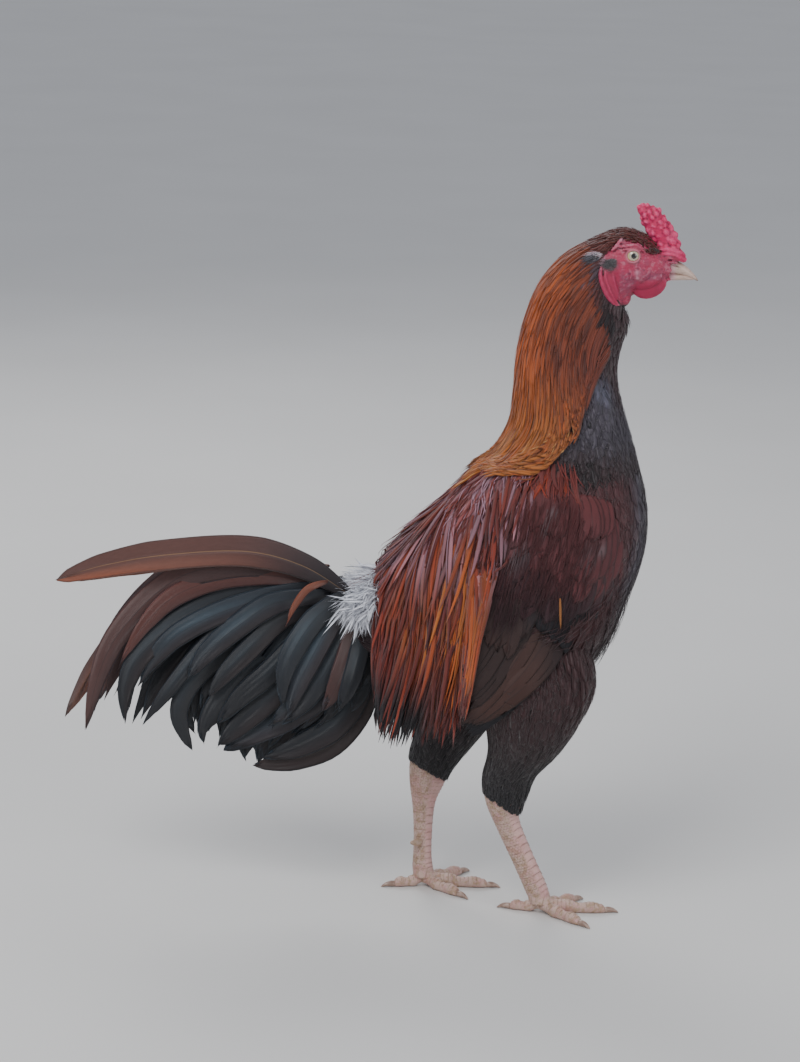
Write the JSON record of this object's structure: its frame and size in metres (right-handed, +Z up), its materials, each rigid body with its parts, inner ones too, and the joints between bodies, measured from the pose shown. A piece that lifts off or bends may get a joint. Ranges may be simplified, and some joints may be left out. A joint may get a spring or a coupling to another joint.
{
  "type": "aseel chicken",
  "caption": "Life-size still model of an aseel cock standing upright on both feet, with pea comb, hanging hackle and saddle feathers, folded wings and a low drooping tail.",
  "frame": {"origin": "middle of the bird's outline seen from above, on the floor under its feet", "axes": "+X the way the bird faces, +Y its left, +Z up"},
  "size_m": [0.5386, 0.1694, 0.6207],
  "materials": {
    "face_skin": "matt, wrinkled bare skin",
    "horn": "satin horn",
    "eye": "wet gloss",
    "hackle": "silky feather",
    "body_feather": "soft feather",
    "wing_feather": "smooth feather",
    "tail_feather": "glossy feather",
    "leg_skin": "dry scaly skin"
  },
  "bodies": {
    "root": {"head": "face_skin", "comb": "face_skin", "lobe_left": "face_skin", "lobe_right": "face_skin", "wattle_left": "face_skin", "wattle_right": "face_skin", "beak_upper": "horn", "beak_lower": "horn", "spur_left": "horn", "spur_right": "horn", "claw_left_middle": "horn", "claw_left_inner": "horn", "claw_left_outer": "horn", "claw_left_hind": "horn", "claw_right_middle": "horn", "claw_right_inner": "horn", "claw_right_outer": "horn", "claw_right_hind": "horn", "eye_left": "eye", "eye_right": "eye", "neck": "hackle", "torso": "body_feather", "thigh_left": "body_feather", "thigh_right": "body_feather", "ear_left": "body_feather", "ear_right": "body_feather", "wing_left": "wing_feather", "wing_right": "wing_feather", "tail": "tail_feather", "sickle_left": "tail_feather", "sickle_right": "tail_feather", "shank_left": "leg_skin", "shank_right": "leg_skin", "foot_left": "leg_skin", "foot_right": "leg_skin"}
  },
  "joints": []
}
